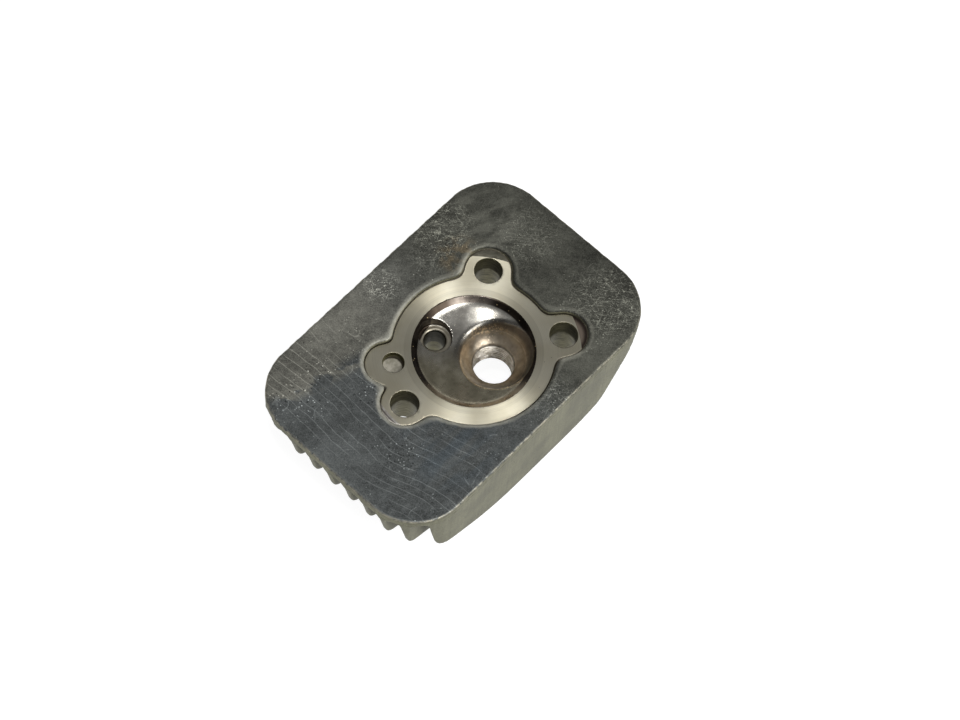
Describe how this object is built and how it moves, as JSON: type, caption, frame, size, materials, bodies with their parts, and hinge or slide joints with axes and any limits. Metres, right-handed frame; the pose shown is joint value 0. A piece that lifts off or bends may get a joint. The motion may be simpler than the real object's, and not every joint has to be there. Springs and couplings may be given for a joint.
{
  "type": "cylinder head",
  "caption": "Finned aluminium two-stroke cylinder head with a domed chamber, a sunken gasket face, stud holes, a spark-plug hole and a decompressor passage.",
  "frame": {"origin": "under the middle of the plate, on the plane of the fin tips", "axes": "+X along the plate's length and the fins, +Y across the fins, +Z out of the gasket face"},
  "size_m": [0.1164, 0.076, 0.0325],
  "materials": {
    "plate_face": "dark, lightly scratched, semi-gloss",
    "machined_face": "turned, fine circular marks",
    "chamber_surface": "polished with brown soot tint",
    "cast_body": "matte die-cast, olive grey"
  },
  "bodies": {
    "root": {"base_plate": "plate_face", "gasket_ring": "machined_face", "chamber_dome": "chamber_surface", "spark_plug_boss": "cast_body", "decompressor_boss": "cast_body", "dowel_pad": "machined_face", "stud_boss_1": "machined_face", "stud_boss_2": "machined_face", "stud_boss_3": "machined_face", "fin_01": "cast_body", "fin_02": "cast_body", "fin_03_left": "cast_body", "fin_03_right": "cast_body", "fin_04_left": "cast_body", "fin_04_right": "cast_body", "fin_05_left": "cast_body", "fin_05_middle": "cast_body", "fin_05_right": "cast_body", "fin_06_left": "cast_body", "fin_06_middle": "cast_body", "fin_06_right": "cast_body", "fin_07_left": "cast_body", "fin_07_middle": "cast_body", "fin_07_right": "cast_body", "fin_08_left": "cast_body", "fin_08_right": "cast_body", "fin_09": "cast_body", "fin_10": "cast_body", "fin_11": "cast_body"}
  },
  "joints": []
}
